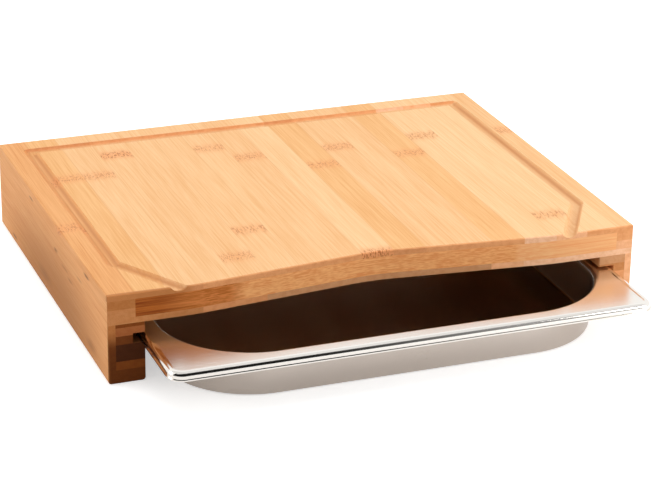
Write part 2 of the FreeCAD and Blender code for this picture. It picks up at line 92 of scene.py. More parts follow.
class NodeBench:
    """Places the nodes of one shader tree and joins them."""

    def __init__(self, tree: bpy.types.NodeTree) -> None:
        """Start on a tree.

        Args:
            tree: The shader tree that the nodes go into.
        """
        self.tree = tree

    def place(
        self,
        kind: str,
        settings: dict[str, object] | None = None,
        inputs: Inputs | None = None,
    ) -> bpy.types.Node:
        """Add a node, set it up and feed its inputs.

        Args:
            kind: Blender's name for the type of node.
            settings: Properties of the node, by name.
            inputs: What each input takes, by the input's name or number.

        Returns:
            The new node.
        """
        node = self.tree.nodes.new(kind)
        for name, value in (settings or {}).items():
            setattr(node, name, value)
        for name, source in (inputs or {}).items():
            self.feed(node.inputs[name], source)
        return node

    def feed(self, socket: bpy.types.NodeSocket, source: Source) -> None:
        """Link a socket to another one, or set the value it holds.

        Args:
            socket: The input to feed.
            source: An output to link from, or a plain value.
        """
        if isinstance(source, bpy.types.NodeSocket):
            self.tree.links.new(source, socket)
        else:
            socket.default_value = source

    def finish(self, shader: bpy.types.Node) -> None:
        """Send a shader to the material's output."""
        self.feed(self.tree.nodes["Material Output"].inputs["Surface"], shader.outputs[0])

    def calc(
        self, operation: str, first: Source, second: Source = 0.0, third: Source = 0.0
    ) -> bpy.types.NodeSocket:
        """Work out one sum on numbers.

        Args:
            operation: Blender's name for the sum.
            first: The first number.
            second: The second number.
            third: The third number, where the sum takes one.

        Returns:
            The output with the result.
        """
        inputs: Inputs = {0: first, 1: second, 2: third}
        return self.place("ShaderNodeMath", {"operation": operation}, inputs).outputs[0]

    def scaled(self, vector: Source, by: Source) -> bpy.types.NodeSocket:
        """Multiply a vector by another, part by part."""
        settings, inputs = {"operation": "MULTIPLY"}, {0: vector, 1: by}
        return self.place("ShaderNodeVectorMath", settings, inputs).outputs[0]

    def moved(self, vector: Source, by: Source) -> bpy.types.NodeSocket:
        """Add one vector to another."""
        settings, inputs = {"operation": "ADD"}, {0: vector, 1: by}
        return self.place("ShaderNodeVectorMath", settings, inputs).outputs[0]

    def parts(self, vector: Source) -> bpy.types.bpy_prop_collection:
        """The three parts of a vector, as outputs."""
        return self.place("ShaderNodeSeparateXYZ", inputs={0: vector}).outputs

    def joined(self, first: Source, second: Source, third: Source) -> bpy.types.NodeSocket:
        """A vector out of three numbers."""
        inputs = {0: first, 1: second, 2: third}
        return self.place("ShaderNodeCombineXYZ", inputs=inputs).outputs[0]

    def ramp(
        self, value: Source, start: Source, end: Source, low: float = 0.0, high: float = 1.0
    ) -> bpy.types.NodeSocket:
        """A smooth step of a number from one level to another.

        Args:
            value: The number that drives the step.
            start: Where the step begins.
            end: Where it ends, which may be below the start.
            low: The result at the start and before it.
            high: The result at the end and past it.

        Returns:
            The output with the result.
        """
        inputs: Inputs = {0: value, 1: start, 2: end, 3: low, 4: high}
        settings = {"interpolation_type": "SMOOTHSTEP"}
        return self.place("ShaderNodeMapRange", settings, inputs).outputs[0]

    def noise(
        self, vector: Source, detail: float = 2.0, rough: float = 0.5
    ) -> bpy.types.NodeSocket:
        """Soft noise with one grain to the unit, from 0 to 1 about a mean of a half.

        Args:
            vector: Where to read the noise.
            detail: How many finer layers lie on the first.
            rough: How strong the finer layers are.

        Returns:
            The output with the noise.
        """
        inputs: Inputs = {
            "Vector": vector,
            "Scale": 1.0,
            "Detail": detail,
            "Roughness": rough,
        }
        return self.place("ShaderNodeTexNoise", inputs=inputs).outputs[0]

    def blend(self, share: Source, first: Source, second: Source) -> bpy.types.NodeSocket:
        """Mix two colours.

        Args:
            share: How much of the second colour shows, 0 to 1.
            first: The colour at a share of 0.
            second: The colour at a share of 1.

        Returns:
            The output with the mixed colour.
        """
        inputs: Inputs = {0: share, 6: first, 7: second}
        return self.place("ShaderNodeMix", {"data_type": "RGBA"}, inputs).outputs[2]


def start_material(name: str) -> tuple[bpy.types.Material, NodeBench, bpy.types.Node]:
    """Make a material that is ready for its nodes.

    Args:
        name: The material's name.

    Returns:
        The material, a bench on its tree, and its surface shader.
    """
    material = bpy.data.materials.new(name)
    material.use_nodes = True
    tree = material.node_tree
    return material, NodeBench(tree), tree.nodes["Principled BSDF"]


@dataclass(frozen=True)
class ToneColours:
    """The colours of one tone of bamboo along the stalk."""

    pale: Colour
    dark: Colour


class BambooTone(Enum):
    """The tones that the strips of the board come in."""

    STRAW = ToneColours(display_colour(249, 207, 156), display_colour(240, 188, 132))
    HONEY = ToneColours(display_colour(248, 200, 147), display_colour(236, 178, 120))
    AMBER = ToneColours(display_colour(246, 193, 134), display_colour(232, 170, 107))
    TAWNY = ToneColours(display_colour(240, 178, 118), display_colour(222, 150, 88))
    APRICOT = ToneColours(display_colour(255, 194, 134), display_colour(248, 168, 108))
    COPPER = ToneColours(display_colour(255, 187, 121), display_colour(238, 155, 92))
    RUST = ToneColours(display_colour(224, 138, 74), display_colour(188, 106, 42))
    UMBER = ToneColours(display_colour(188, 104, 40), display_colour(140, 64, 14))
    PEAT = ToneColours(display_colour(122, 66, 26), display_colour(86, 40, 12))


class EndTone(Enum):
    """The colours that the strips show where the stalk is cut across."""

    BLUSH = display_colour(255, 201, 161)
    PEACH = display_colour(252, 188, 140)
    APRICOT = display_colour(240, 168, 112)
    CARAMEL = display_colour(232, 160, 106)
    SAND = display_colour(214, 156, 110)
    TOFFEE = display_colour(206, 138, 84)
    CHESTNUT = display_colour(192, 122, 66)
    RUSSET = display_colour(168, 98, 52)
    WALNUT = display_colour(134, 70, 20)
    COCOA = display_colour(112, 56, 12)
    COFFEE = display_colour(78, 36, 6)


KNUCKLE_HALO = display_colour(240, 160, 104)
KNUCKLE_DASH = display_colour(190, 114, 64)
GLUE_LINE = display_colour(204, 140, 84)
SCAR = display_colour(116, 60, 22)
# Painted shade inside the groove.
GROOVE_SHADE = display_colour(206, 140, 88)
# The colour of the painted shade on the board's left side.
SHADED_SIDE = display_colour(166, 108, 56)


class GrainGroup:
    """The shared node group that paints bamboo cut along its stalk.

    The group sees every strip as if its fibres ran along the second axis, so a strip that
    lies crosswise is turned before it comes in here.  A scale is so many grains to the
    millimetre, left to right, along the fibres and upwards.  A step is the pair of levels
    between which a mask goes from nothing to full, and a reach is in millimetres.
    """

    NAME = "grain of split bamboo"
    INPUTS = (
        ("Place", "NodeSocketVector"),
        ("Facing", "NodeSocketVector"),
        ("Pale", "NodeSocketColor"),
        ("Dark", "NodeSocketColor"),
        ("End", "NodeSocketColor"),
        ("Seed", "NodeSocketVector"),
        ("Contrast", "NodeSocketFloat"),
        ("Flecks", "NodeSocketFloat"),
        ("First knuckle", "NodeSocketFloat"),
        ("Second knuckle", "NodeSocketFloat"),
        ("Knuckle strength", "NodeSocketFloat"),
        ("Left joint", "NodeSocketFloat"),
        ("Right joint", "NodeSocketFloat"),
        ("Lower joint", "NodeSocketFloat"),
        ("Upper joint", "NodeSocketFloat"),
    )
    OUTPUTS = (
        ("Colour", "NodeSocketColor"),
        ("Roughness", "NodeSocketFloat"),
        ("Height", "NodeSocketFloat"),
    )

    FIBRE_SCALE = (1.3, 0.022, 1.3)
    LINE_SCALE = (0.85, 0.008, 0.85)
    SHADE_SCALE = (0.075, 0.007, 0.075)
    FLECK_SCALE = (1.3, 0.2, 1.3)
    DASH_SCALE = (1.4, 0.32, 0.5)
    WOBBLE_SCALE = (0.3, 0.0, 0.3)
    BUNDLE_SCALE = (0.8, 0.0, 0.8)
    CLOUD_SCALE = (0.22, 0.0, 0.3)

    LINE_STEP = (0.52, 0.66)
    DASH_STEP = (0.48, 0.66)
    FLANK_STEP = (0.5, 0.8)
    END_STEP = (0.5, 0.75)
    BUNDLE_STEP = (0.46, 0.2)
    CLOUD_STEP = (0.35, 0.7)
    OPEN_ABOVE_STEP = (0.1, 0.4)
    LEFTWARD_STEP = (-0.15, -0.55)

    FIBRE_STRENGTH = 2.25
    LINE_STRENGTH = 0.3
    SHADE_STRENGTH = 0.95
    MIDDLE_TONE = 0.36
    FLANK_DARKENING = 0.12
    PLAIN_ROUGHNESS = 0.46
    FIBRE_ROUGHNESS = 0.16
    END_ROUGHNESS = 0.14
    BUNDLE_DISORDER = 0.85
    BUNDLE_DEPTH = (0.9, -0.1)
    BUNDLE_RELIEF = -0.8
    CLOUD_STRENGTH = 0.6
    DEEPER_END = (0.86, 0.74, 0.62)

    HALO_REACH = (14.0, 1.0)
    HALO_STRENGTH = 0.55
    BAND_REACH = (8.5, 2.5)
    BAND_WOBBLE = 11.0
    GLUE_REACH = (0.45, 0.12)
    GLUE_STRENGTH = 0.2
    # Where and how strongly shade is painted into the groove.
    GROOVE_REACH = (CUTTING_FACE - 0.1, CUTTING_FACE - 2.4)
    FACE_REACH = (CUTTING_FACE - 6.0, CUTTING_FACE - 5.0)
    FLAT_GROOVE_SHADE = 0.26
    LEFTWARD_GROOVE_SHADE = 0.8

    def __init__(self) -> None:
        """Make an empty group with its sockets."""
        self.tree = bpy.data.node_groups.new(self.NAME, "ShaderNodeTree")
        for name, kind in self.INPUTS:
            self.tree.interface.new_socket(name=name, in_out="INPUT", socket_type=kind)
        for name, kind in self.OUTPUTS:
            self.tree.interface.new_socket(name=name, in_out="OUTPUT", socket_type=kind)
        self.bench = NodeBench(self.tree)
        self.given = self.bench.place("NodeGroupInput").outputs

    def build(self) -> bpy.types.NodeTree:
        """Fill the group.

        Returns:
            The finished node group.
        """
        bench, given = self.bench, self.given
        place = bench.moved(given["Place"], given["Seed"])
        fine = bench.noise(bench.scaled(place, self.FIBRE_SCALE), rough=0.7)
        colour = bench.blend(self.darkness(place, fine), given["Pale"], given["Dark"])
        colour = self.joints(self.groove(colour))
        end_share, end_colour, dots = self.end_grain(place, fine)
        colour = bench.blend(end_share, colour, end_colour)

        dashes = bench.noise(bench.scaled(place, self.DASH_SCALE), detail=1.0)
        dashes = bench.ramp(dashes, *self.DASH_STEP)
        wobble = bench.noise(bench.scaled(place, self.WOBBLE_SCALE), detail=1.0)
        for number in ("First knuckle", "Second knuckle"):
            colour = self.knuckle(colour, dashes, wobble, given[number])

        rough = bench.calc("MULTIPLY_ADD", fine, self.FIBRE_ROUGHNESS, self.PLAIN_ROUGHNESS)
        rough = bench.calc("MULTIPLY_ADD", end_share, self.END_ROUGHNESS, rough)
        cut_dots = bench.calc("MULTIPLY", dots, end_share)
        height = bench.calc("MULTIPLY_ADD", cut_dots, self.BUNDLE_RELIEF, fine)
        inputs: Inputs = {"Colour": colour, "Roughness": rough, "Height": height}
        bench.place("NodeGroupOutput", inputs=inputs)
        return self.tree

    def darkness(self, place: Source, fine: Source) -> bpy.types.NodeSocket:
        """Work out how dark the split face is, from its fibres, flecks and slow changes.

        Args:
            place: Where on the strip, with the seed added.
            fine: The finest fibre noise.

        Returns:
            The output with the share of the dark colour, 0 to 1.
        """
        bench, given = self.bench, self.given
        lines = bench.noise(bench.scaled(place, self.LINE_SCALE), detail=1.0, rough=0.4)
        broad = bench.noise(bench.scaled(place, self.SHADE_SCALE), detail=1.0)
        specks = bench.noise(bench.scaled(place, self.FLECK_SCALE), detail=1.0)
        streaks = bench.ramp(lines, *self.LINE_STEP, high=self.LINE_STRENGTH)
        fibres = bench.calc("SUBTRACT", fine, NOISE_MEAN)
        streaks = bench.calc("MULTIPLY_ADD", fibres, self.FIBRE_STRENGTH, streaks)
        streaks = bench.calc("MULTIPLY", streaks, given["Contrast"])
        flecks = bench.calc("MULTIPLY", bench.calc("SUBTRACT", specks, NOISE_MEAN), given["Flecks"])
        flank = bench.calc("ABSOLUTE", bench.parts(given["Facing"])[0])
        shade = bench.calc("SUBTRACT", broad, NOISE_MEAN)
        slow = bench.calc("MULTIPLY_ADD", shade, self.SHADE_STRENGTH, self.MIDDLE_TONE)
        # Faces that look left or right are drawn a little darker.
        flank = bench.ramp(flank, *self.FLANK_STEP, high=self.FLANK_DARKENING)
        slow = bench.calc("ADD", bench.calc("ADD", slow, flank), flecks)
        settings = {"operation": "ADD", "use_clamp": True}
        return bench.place("ShaderNodeMath", settings, {0: streaks, 1: slow}).outputs[0]

    def knuckle(
        self, colour: Source, dashes: Source, wobble: Source, along: Source
    ) -> bpy.types.NodeSocket:
        """Draw the ragged band where the stalk had a knuckle.

        Args:
            colour: The colour so far.
            dashes: The mask of short dark dashes.
            wobble: Noise that bends the band a little.
            along: Where the knuckle lies along the strip.

        Returns:
            The output with the new colour.
        """
        bench = self.bench
        away = bench.calc("SUBTRACT", bench.parts(self.given["Place"])[1], along)
        bend = bench.calc(
            "MULTIPLY_ADD", wobble, self.BAND_WOBBLE, -self.BAND_WOBBLE * NOISE_MEAN
        )
        away = bench.calc("ABSOLUTE", bench.calc("ADD", away, bend))
        strength = self.given["Knuckle strength"]
        halo = bench.ramp(away, *self.HALO_REACH, high=self.HALO_STRENGTH)
        band = bench.ramp(away, *self.BAND_REACH)
        band = bench.calc("MULTIPLY", bench.calc("MULTIPLY", band, strength), dashes)
        colour = bench.blend(bench.calc("MULTIPLY", halo, strength), colour, KNUCKLE_HALO)
        return bench.blend(band, colour, KNUCKLE_DASH)

    def groove(self, colour: Source) -> bpy.types.NodeSocket:
        """Paint shade into the groove below the cutting face, most on flanks that face left.

        Args:
            colour: The colour so far.

        Returns:
            The output with the new colour.
        """
        bench = self.bench
        up = bench.parts(self.given["Place"])[2]
        facing = bench.parts(self.given["Facing"])
        # Painted shade: the groove's sunk faces are darkened, most where they face left.
        sunk = bench.ramp(up, *self.GROOVE_REACH)
        in_face = bench.ramp(up, *self.FACE_REACH)
        open_above = bench.ramp(facing[2], *self.OPEN_ABOVE_STEP)
        leftward = bench.ramp(
            facing[0], *self.LEFTWARD_STEP, self.FLAT_GROOVE_SHADE, self.LEFTWARD_GROOVE_SHADE
        )
        share = bench.calc("MULTIPLY", bench.calc("MULTIPLY", sunk, open_above), in_face)
        return bench.blend(bench.calc("MULTIPLY", share, leftward), colour, GROOVE_SHADE)

    def joints(self, colour: Source) -> bpy.types.NodeSocket:
        """Draw the thin glue lines along the strip's own edges.

        Args:
            colour: The colour so far.

        Returns:
            The output with the new colour.
        """
        bench = self.bench
        across, _, up = bench.parts(self.given["Place"])
        nearest: Source = FAR_AWAY
        for value, name in (
            (across, "Left joint"),
            (across, "Right joint"),
            (up, "Lower joint"),
            (up, "Upper joint"),
        ):
            gap = bench.calc("ABSOLUTE", bench.calc("SUBTRACT", value, self.given[name]))
            nearest = bench.calc("MINIMUM", gap, nearest)
        share = bench.ramp(nearest, *self.GLUE_REACH, high=self.GLUE_STRENGTH)
        return bench.blend(share, colour, GLUE_LINE)

    def end_grain(
        self, place: Source, fine: Source
    ) -> tuple[bpy.types.NodeSocket, bpy.types.NodeSocket, bpy.types.NodeSocket]:
        """Draw the cut ends of the fibre bundles.

        Args:
            place: Where on the strip, with the seed added.
            fine: The finest fibre noise.

        Returns:
            How much of the face is end grain, its colour, and the mask of its dots.
        """
        bench = self.bench
        facing = bench.calc("ABSOLUTE", bench.parts(self.given["Facing"])[1])
        share = bench.ramp(facing, *self.END_STEP)
        inputs: Inputs = {
            "Vector": bench.scaled(place, self.BUNDLE_SCALE),
            "Scale": 1.0,
            "Randomness": self.BUNDLE_DISORDER,
        }
        cells = bench.place("ShaderNodeTexVoronoi", inputs=inputs).outputs["Distance"]
        dots = bench.ramp(cells, *self.BUNDLE_STEP)
        soft = bench.noise(bench.scaled(place, self.CLOUD_SCALE))
        deeper = bench.scaled(self.given["End"], self.DEEPER_END)
        soft = bench.ramp(soft, *self.CLOUD_STEP, high=self.CLOUD_STRENGTH)
        base = bench.blend(soft, self.given["End"], deeper)
        depth = bench.calc("MULTIPLY_ADD", fine, *self.BUNDLE_DEPTH)
        return share, bench.blend(bench.calc("MULTIPLY", dots, depth), base, deeper), dots


@dataclass(frozen=True)
class Mark:
    """A soft patch, a scar or painted shade on the wood, as an ellipsoid in the row frame.

    It is full inside its full share of the reach, and a ragged one has a torn edge.
    """

    TEAR_SCALE = (0.9, 0.12, 0.9)

    centre: Place
    reach: Place
    colour: Colour = SCAR
    strength: float = 0.8
    full: float = 0.2
    ragged: float = 0.0

    def paint(self, bench: NodeBench, place: Source, colour: Source) -> bpy.types.NodeSocket:
        """Lay the mark over a colour.

        Args:
            bench: The bench of the material.
            place: The place in millimetres.
            colour: The colour so far.

        Returns:
            The output with the new colour.
        """
        away = bench.moved(place, tuple(-part for part in self.centre))
        away = bench.scaled(away, tuple(1.0 / part for part in self.reach))
        length = bench.place("ShaderNodeVectorMath", {"operation": "LENGTH"}, {0: away})
        distance = length.outputs["Value"]
        if self.ragged:
            torn = bench.noise(bench.scaled(place, self.TEAR_SCALE))
            torn = bench.calc("SUBTRACT", torn, NOISE_MEAN)
            distance = bench.calc("MULTIPLY_ADD", torn, self.ragged, distance)
        share = bench.ramp(distance, 1.0, self.full, high=self.strength)
        return bench.blend(share, colour, self.colour)


# The painted shade and the scars on the board's left side, seen on every strip that ends there.
LEFT_SIDE_SHADE_AND_SCARS = (
    # Painted shade, darkest towards the table, over most of the left side.
    Mark((LEFT_FACE, 22.0, 0.0), (4.0, 165.0, 62.0), SHADED_SIDE, strength=0.78, full=0.25),
    Mark((LEFT_FACE, 47.0, 11.0), (3.0, 26.0, 6.0), strength=0.35, full=0.0),
    Mark((LEFT_FACE, -68.0, 9.5), (3.0, 16.0, 5.0), strength=0.4, full=0.0, ragged=0.5),
    Mark((LEFT_FACE, 80.0, 53.4), (3.0, 9.0, 1.4), strength=0.66, full=0.0, ragged=0.9),
    Mark((LEFT_FACE, 16.0, 41.0), (3.0, 6.5, 2.2), strength=0.66, full=0.0, ragged=0.9),
    Mark((LEFT_FACE, -6.0, 37.0), (3.0, 13.0, 1.5), strength=0.4, full=0.0, ragged=0.9),
    Mark((LEFT_FACE, -20.0, 33.6), (3.0, 9.0, 1.6), strength=0.5, full=0.0, ragged=0.9),
    Mark((LEFT_FACE, -42.0, 44.0), (3.0, 11.0, 1.3), strength=0.35, full=0.0, ragged=0.9),
    Mark((LEFT_FACE, -61.0, 53.8), (3.0, 9.0, 1.6), strength=0.8, full=0.1, ragged=0.8),
    Mark((LEFT_FACE, 132.0, 5.3), (3.0, 10.0, 2.0), strength=0.7, full=0.0, ragged=0.8),
)
# Painted shade on the left end of the top ply's front face.
SHADED_FRONT_CORNER = Mark(
    centre=(LEFT_FACE, BOARD_FRONT, 56.0),
    reach=(62.0, 3.0, 30.0),
    colour=EndTone.CHESTNUT.value,
    strength=0.85,
    full=0.75,
)


@dataclass(frozen=True)
class Stretch:
    """The tone that a crosswise strip takes on from one place to the next."""

    start: float
    tone: BambooTone
    flecks: float = 0.0
    run_in: float = 0.3


@dataclass(frozen=True)
class StripFinish:
    """How one strip of bamboo is finished.

    The joints are the places of the glue lines at the strip's own sides: left, right,
    lower and upper.  The foot's end colour takes over between the foot's top and bottom;
    where it is darker than the end, it is painted shade towards the table.
    """

    SHINE = 0.14
    RELIEF = 0.35
    RELIEF_DEPTH = 0.0002
    SEED_STEP = (37.1, 211.7, 53.3)

    tone: BambooTone
    end: EndTone
    seed: float
    joints: Joints = (FAR_AWAY, FAR_AWAY, FAR_AWAY, FAR_AWAY)
    knuckles: tuple[float, float] = (FAR_AWAY, FAR_AWAY)
    knuckle_strength: float = 0.66
    contrast: float = 1.0
    flecks: float = 0.0
    crosswise: bool = False
    stretches: tuple[Stretch, ...] = ()
    foot_shade_end: EndTone | None = None
    foot_top: float = 38.0
    foot_bottom: float = 23.0
    marks: tuple[Mark, ...] = ()

    def make(self, name: str, grain: bpy.types.NodeTree) -> bpy.types.Material:
        """Make the material.

        Args:
            name: The material's name.
            grain: The shared grain group.

        Returns:
            The finished material.
        """
        material, bench, surface = start_material(name)
        surface.inputs["Specular IOR Level"].default_value = self.SHINE
        where = bench.place("ShaderNodeTexCoord").outputs
        place = bench.scaled(where["Object"], TO_MILLIMETRES)
        across, along, up = bench.parts(place)
        facing_across, facing_along, facing_up = bench.parts(where["Normal"])
        pale, dark, flecks = self.tone_sources(bench, across)
        end: Source = self.end.value
        # Painted shade: the end grain takes the foot's colour towards the table.
        if self.foot_shade_end:
            foot = bench.ramp(up, self.foot_top, self.foot_bottom)
            end = bench.blend(foot, end, self.foot_shade_end.value)
        if self.crosswise:
            across, along = along, across
            facing_across, facing_along = facing_along, facing_across
        cut = bench.place("ShaderNodeGroup")
        cut.node_tree = grain
        for socket, source in (
            ("Place", bench.joined(across, along, up)),
            ("Facing", bench.joined(facing_across, facing_along, facing_up)),
            ("Pale", pale),
            ("Dark", dark),
            ("End", end),
            ("Seed", tuple(self.seed * step for step in self.SEED_STEP)),
            ("Contrast", self.contrast),
            ("Flecks", flecks),
            ("First knuckle", self.knuckles[0]),
            ("Second knuckle", self.knuckles[1]),
            ("Knuckle strength", self.knuckle_strength),
            ("Left joint", self.joints[0]),
            ("Right joint", self.joints[1]),
            ("Lower joint", self.joints[2]),
            ("Upper joint", self.joints[3]),
        ):
            bench.feed(cut.inputs[socket], source)
        colour: Source = cut.outputs["Colour"]
        for mark in self.marks:
            colour = mark.paint(bench, place, colour)
        bench.feed(surface.inputs["Base Color"], colour)
        bench.feed(surface.inputs["Roughness"], cut.outputs["Roughness"])
        bump: Inputs = {
            "Strength": self.RELIEF,
            "Distance": self.RELIEF_DEPTH,
            "Height": cut.outputs["Height"],
        }
        relief = bench.place("ShaderNodeBump", inputs=bump)
        bench.feed(surface.inputs["Normal"], relief.outputs[0])
        return material

    def tone_sources(self, bench: NodeBench, across: Source) -> tuple[Source, Source, Source]:
        """The pale and dark colours and the flecks, which change where strips meet.

        Args:
            bench: The bench of the material.
            across: The place from left to right.

        Returns:
            The pale colour, the dark colour and the strength of the flecks.
        """
        pale: Source = self.tone.value.pale
        dark: Source = self.tone.value.dark
        flecks: Source = self.flecks
        for stretch in self.stretches:
            half = stretch.run_in / 2
            past = bench.ramp(across, stretch.start - half, stretch.start + half)
            pale = bench.blend(past, pale, stretch.tone.value.pale)
            dark = bench.blend(past, dark, stretch.tone.value.dark)
            change = bench.calc("SUBTRACT", stretch.flecks, flecks)
            flecks = bench.calc("MULTIPLY_ADD", past, change, flecks)
        return pale, dark, flecks


@dataclass(frozen=True)
class RimPlan:
    """The tray's rim seen from above, as a rounded rectangle in millimetres."""

    middle_across: float
    middle_along: float
    half_width: float
    half_length: float
    corner: float

    @classmethod
    def around(cls, name: str, corner: float) -> RimPlan:
        """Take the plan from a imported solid.

        Args:
            name: The solid.
            corner: The radius of the rim's corners.

        Returns:
            The plan.
        """
        low, high = (side * MM_PER_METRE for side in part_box(name))
        middle, half = (low + high) / 2, (high - low) / 2
        return cls(middle.x, middle.y, half.x, half.y, corner)

    def inset(self, bench: NodeBench, across: Source, along: Source) -> bpy.types.NodeSocket:
        """Work out how far a place lies inside the rim's outline.

        Args:
            bench: The bench of the material.
            across: The place from left to right.
            along: The place from front to back.

        Returns:
            The output with the distance.
        """
        gaps = []
        for place, middle, half in (
            (across, self.middle_across, self.half_width),
            (along, self.middle_along, self.half_length),
        ):
            off = bench.calc("ABSOLUTE", bench.calc("SUBTRACT", place, middle))
            gaps.append(bench.calc("SUBTRACT", off, half - self.corner))
        past = [bench.calc("MAXIMUM", gap, 0.0) for gap in gaps]
        squares = bench.calc("MULTIPLY_ADD", past[0], past[0], bench.calc("POWER", past[1], 2.0))
        outside = bench.calc("SQRT", squares)
        inside = bench.calc("MINIMUM", bench.calc("MAXIMUM", gaps[0], gaps[1]), 0.0)
        return bench.calc("SUBTRACT", self.corner, bench.calc("ADD", outside, inside))


@dataclass(frozen=True)
class SteelFinish:
    """Drawn stainless steel: a dull pan, a satin flange and a bright rolled rim.

    Satin and bright are the roughness of the flange and of the roll.  The roll begins
    between its edge's two distances from the rim's outline and between its bottom's two
    heights, and the flange's colour between the pan top's two heights, in millimetres.
    """

    CLOUD_SCALE = (0.02, 0.02, 0.05)
    BRUSH_SCALE = (0.05, 1.6, 1.6)
    SPECK_SCALE = (1.1, 1.1, 1.1)
    WEAR = 0.1
    BRIGHT_WEAR = 0.2
    TINT = (0.9, 0.88, 0.86)
    TINT_SHARE = 0.25
    TINT_CHANGE = 0.5
    BRUSH_RELIEF = 0.5
    RELIEF = 0.12
    RELIEF_DEPTH = 0.00006

    # Painted light: the flange and the rolled rim take this paler steel colour than the pan, so
    # that they read near white.
    flange: Colour = display_colour(250, 246, 240)
    pan: Colour = display_colour(214, 203, 194)
    satin: float = 0.24
    bright: float = 0.1
    roll_edge: tuple[float, float] = (5.5, 4.7)
    roll_bottom: tuple[float, float] = (25.8, 26.3)
    pan_top: tuple[float, float] = (27.0, 29.0)

    def make(self, name: str, rim: RimPlan) -> bpy.types.Material:
        """Make the material.

        Args:
            name: The material's name.
            rim: The plan of the rim.

        Returns:
            The finished material.
        """
        material, bench, surface = start_material(name)
        surface.inputs["Metallic"].default_value = 1.0
        where = bench.place("ShaderNodeTexCoord").outputs["Object"]
        place = bench.scaled(where, TO_MILLIMETRES)
        cloud = bench.noise(bench.scaled(place, self.CLOUD_SCALE))
        brushed = bench.noise(bench.scaled(place, self.BRUSH_SCALE), detail=3.0, rough=0.65)
        specks = bench.noise(bench.scaled(place, self.SPECK_SCALE), rough=0.6)
        across, along, up = bench.parts(place)
        inset = rim.inset(bench, across, along)
        near = bench.ramp(inset, *self.roll_edge)
        roll = bench.calc("MULTIPLY", near, bench.ramp(up, *self.roll_bottom))
        worn = bench.calc("MULTIPLY", bench.calc("SUBTRACT", cloud, NOISE_MEAN), self.WEAR)
        streaks = bench.calc("SUBTRACT", brushed, NOISE_MEAN)
        worn = bench.calc("MULTIPLY_ADD", streaks, self.WEAR, worn)
        satin = bench.calc("ADD", worn, self.satin)
        polished = bench.calc("MULTIPLY_ADD", worn, self.BRIGHT_WEAR, self.bright)
        change = bench.calc("SUBTRACT", polished, satin)
        rough = bench.calc("MULTIPLY_ADD", roll, change, satin)
        # Painted light: the flange and the roll get the paler colour.
        upper = bench.calc("MAXIMUM", bench.ramp(up, *self.pan_top), roll)
        colour = bench.blend(upper, self.pan, self.flange)
        tint = bench.calc("SUBTRACT", cloud, NOISE_MEAN)
        tint = bench.calc("MULTIPLY_ADD", tint, self.TINT_CHANGE, self.TINT_SHARE)
        colour = bench.blend(tint, colour, bench.scaled(colour, self.TINT))
        bench.feed(surface.inputs["Base Color"], colour)
        bench.feed(surface.inputs["Roughness"], rough)
        bump: Inputs = {
            "Strength": self.RELIEF,
            "Distance": self.RELIEF_DEPTH,
            "Height": bench.calc("MULTIPLY_ADD", brushed, self.BRUSH_RELIEF, specks),
        }
        relief = bench.place("ShaderNodeBump", inputs=bump)
        bench.feed(surface.inputs["Normal"], relief.outputs[0])
        return material


def dress(nodes: Nodes, name: str, material: bpy.types.Material) -> None:
    """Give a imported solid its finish.

    Args:
        nodes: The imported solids, by name.
        name: The solid to dress.
        material: The finish.
    """
    solid = nodes[name]
    solid.data.materials.clear()
    solid.data.materials.append(material)
    log.info("dressed %s with %s", name, material.name)


def sides(name: str) -> tuple[float, float, float, float]:
    """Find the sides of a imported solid.

    Args:
        name: The solid.

    Returns:
        Its left, right, lower and upper sides in millimetres.
    """
    low, high = (corner * MM_PER_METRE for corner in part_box(name))
    return low.x, high.x, low.z, high.z


@dataclass
class LamellaPly:
    """One face ply of the panel: strips from front to back, listed from the left.

    The knuckles are, for each strip's number, their distances from the board's front.
    """

    ply: str
    seed: float
    tones: tuple[BambooTone, ...]
    ends: tuple[EndTone, ...]
    knuckles: dict[int, tuple[float, ...]]
    strong_knuckles: tuple[int, ...] = ()
    marks: tuple[Mark, ...] = ()
    plain_strength: float = 0.66
    full_strength: float = 1.0

    def joints(self, number: int) -> Joints:
        """Find the glue lines round a strip, with none on the outside of the board.

        Args:
            number: The strip's number, from 1 at the left.

        Returns:
            The places of the glue lines.
        """
        left, right, lower, _ = sides(self.name(number))
        return (
            FAR_AWAY if number == 1 else left,
            FAR_AWAY if number == len(self.tones) else right,
            lower if self.ply == "top" else FAR_AWAY,
            FAR_AWAY,
        )

    def name(self, number: int) -> str:
        """The name of a strip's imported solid."""
        return f"{self.ply}_lamella_{number:02d}"

    def dress(self, nodes: Nodes, grain: bpy.types.NodeTree) -> None:
        """Dress every strip of the ply.

        Args:
            nodes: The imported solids, by name.
            grain: The shared grain group.
        """
        for number, (tone, end) in enumerate(zip(self.tones, self.ends, strict=True), start=1):
            places = [BOARD_FRONT + place for place in self.knuckles.get(number, ())]
            places += [FAR_AWAY] * (2 - len(places))
            strong = number in self.strong_knuckles
            finish = StripFinish(
                tone=tone,
                end=end,
                seed=self.seed + number,
                joints=self.joints(number),
                knuckles=(places[0], places[1]),
                knuckle_strength=self.full_strength if strong else self.plain_strength,
                marks=(LEFT_SIDE_SHADE_AND_SCARS if number == 1 else ()) + self.marks,
            )
            material = finish.make(f"bamboo {self.ply} {number}", grain)
            dress(nodes, self.name(number), material)


